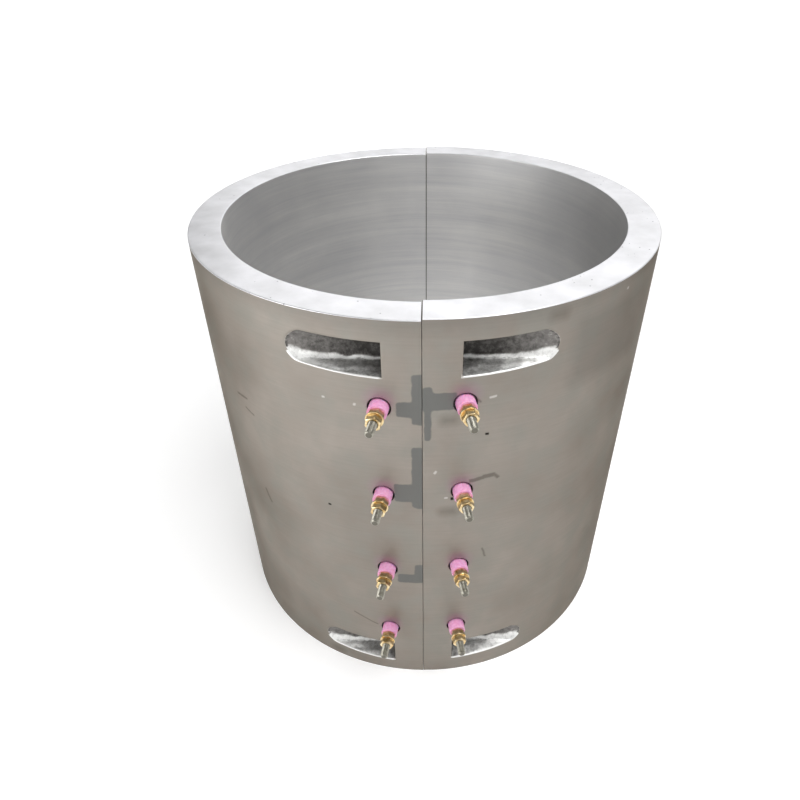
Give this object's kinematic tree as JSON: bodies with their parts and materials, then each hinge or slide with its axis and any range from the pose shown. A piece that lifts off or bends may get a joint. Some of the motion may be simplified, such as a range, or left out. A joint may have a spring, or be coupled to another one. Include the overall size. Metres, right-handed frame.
{
  "type": "cast aluminium heater",
  "caption": "Split cast-in ring heater: two half-ring aluminium castings with embedded hairpin tubes, insulated screw terminals in rows beside the split and pockets for clamping screws.",
  "frame": {"origin": "centre of the bore at the bottom face", "axes": "+Z along the bore, -Y towards the terminals at the front split, +X towards the right half"},
  "size_m": [0.3, 0.3215, 0.295],
  "materials": {
    "cast_aluminium": "satin, as cast and brushed outside, machined rims and bore",
    "tube_steel": "annealed",
    "magnesia": "pressed powder",
    "resistance_wire": "drawn",
    "stud_steel": "plain, slightly dull",
    "pink_ceramic": "unglazed, fine matt",
    "brass": "turned"
  },
  "bodies": {
    "root": {"left_half_casting": "cast_aluminium", "left_lower_sheath": "tube_steel", "left_lower_powder": "magnesia", "left_lower_coil": "resistance_wire", "left_upper_sheath": "tube_steel", "left_upper_powder": "magnesia", "left_upper_coil": "resistance_wire", "left_stud_1": "stud_steel", "left_bush_1": "pink_ceramic", "left_inner_nut_1": "brass", "left_washer_1": "brass", "left_outer_nut_1": "brass", "left_stud_2": "stud_steel", "left_bush_2": "pink_ceramic", "left_inner_nut_2": "brass", "left_washer_2": "brass", "left_outer_nut_2": "brass", "left_stud_3": "stud_steel", "left_bush_3": "pink_ceramic", "left_inner_nut_3": "brass", "left_washer_3": "brass", "left_outer_nut_3": "brass", "left_stud_4": "stud_steel", "left_bush_4": "pink_ceramic", "left_inner_nut_4": "brass", "left_washer_4": "brass", "left_outer_nut_4": "brass", "right_half_casting": "cast_aluminium", "right_lower_sheath": "tube_steel", "right_lower_powder": "magnesia", "right_lower_coil": "resistance_wire", "right_upper_sheath": "tube_steel", "right_upper_powder": "magnesia", "right_upper_coil": "resistance_wire", "right_stud_1": "stud_steel", "right_bush_1": "pink_ceramic", "right_inner_nut_1": "brass", "right_washer_1": "brass", "right_outer_nut_1": "brass", "right_stud_2": "stud_steel", "right_bush_2": "pink_ceramic", "right_inner_nut_2": "brass", "right_washer_2": "brass", "right_outer_nut_2": "brass", "right_stud_3": "stud_steel", "right_bush_3": "pink_ceramic", "right_inner_nut_3": "brass", "right_washer_3": "brass", "right_outer_nut_3": "brass", "right_stud_4": "stud_steel", "right_bush_4": "pink_ceramic", "right_inner_nut_4": "brass", "right_washer_4": "brass", "right_outer_nut_4": "brass"}
  },
  "joints": []
}
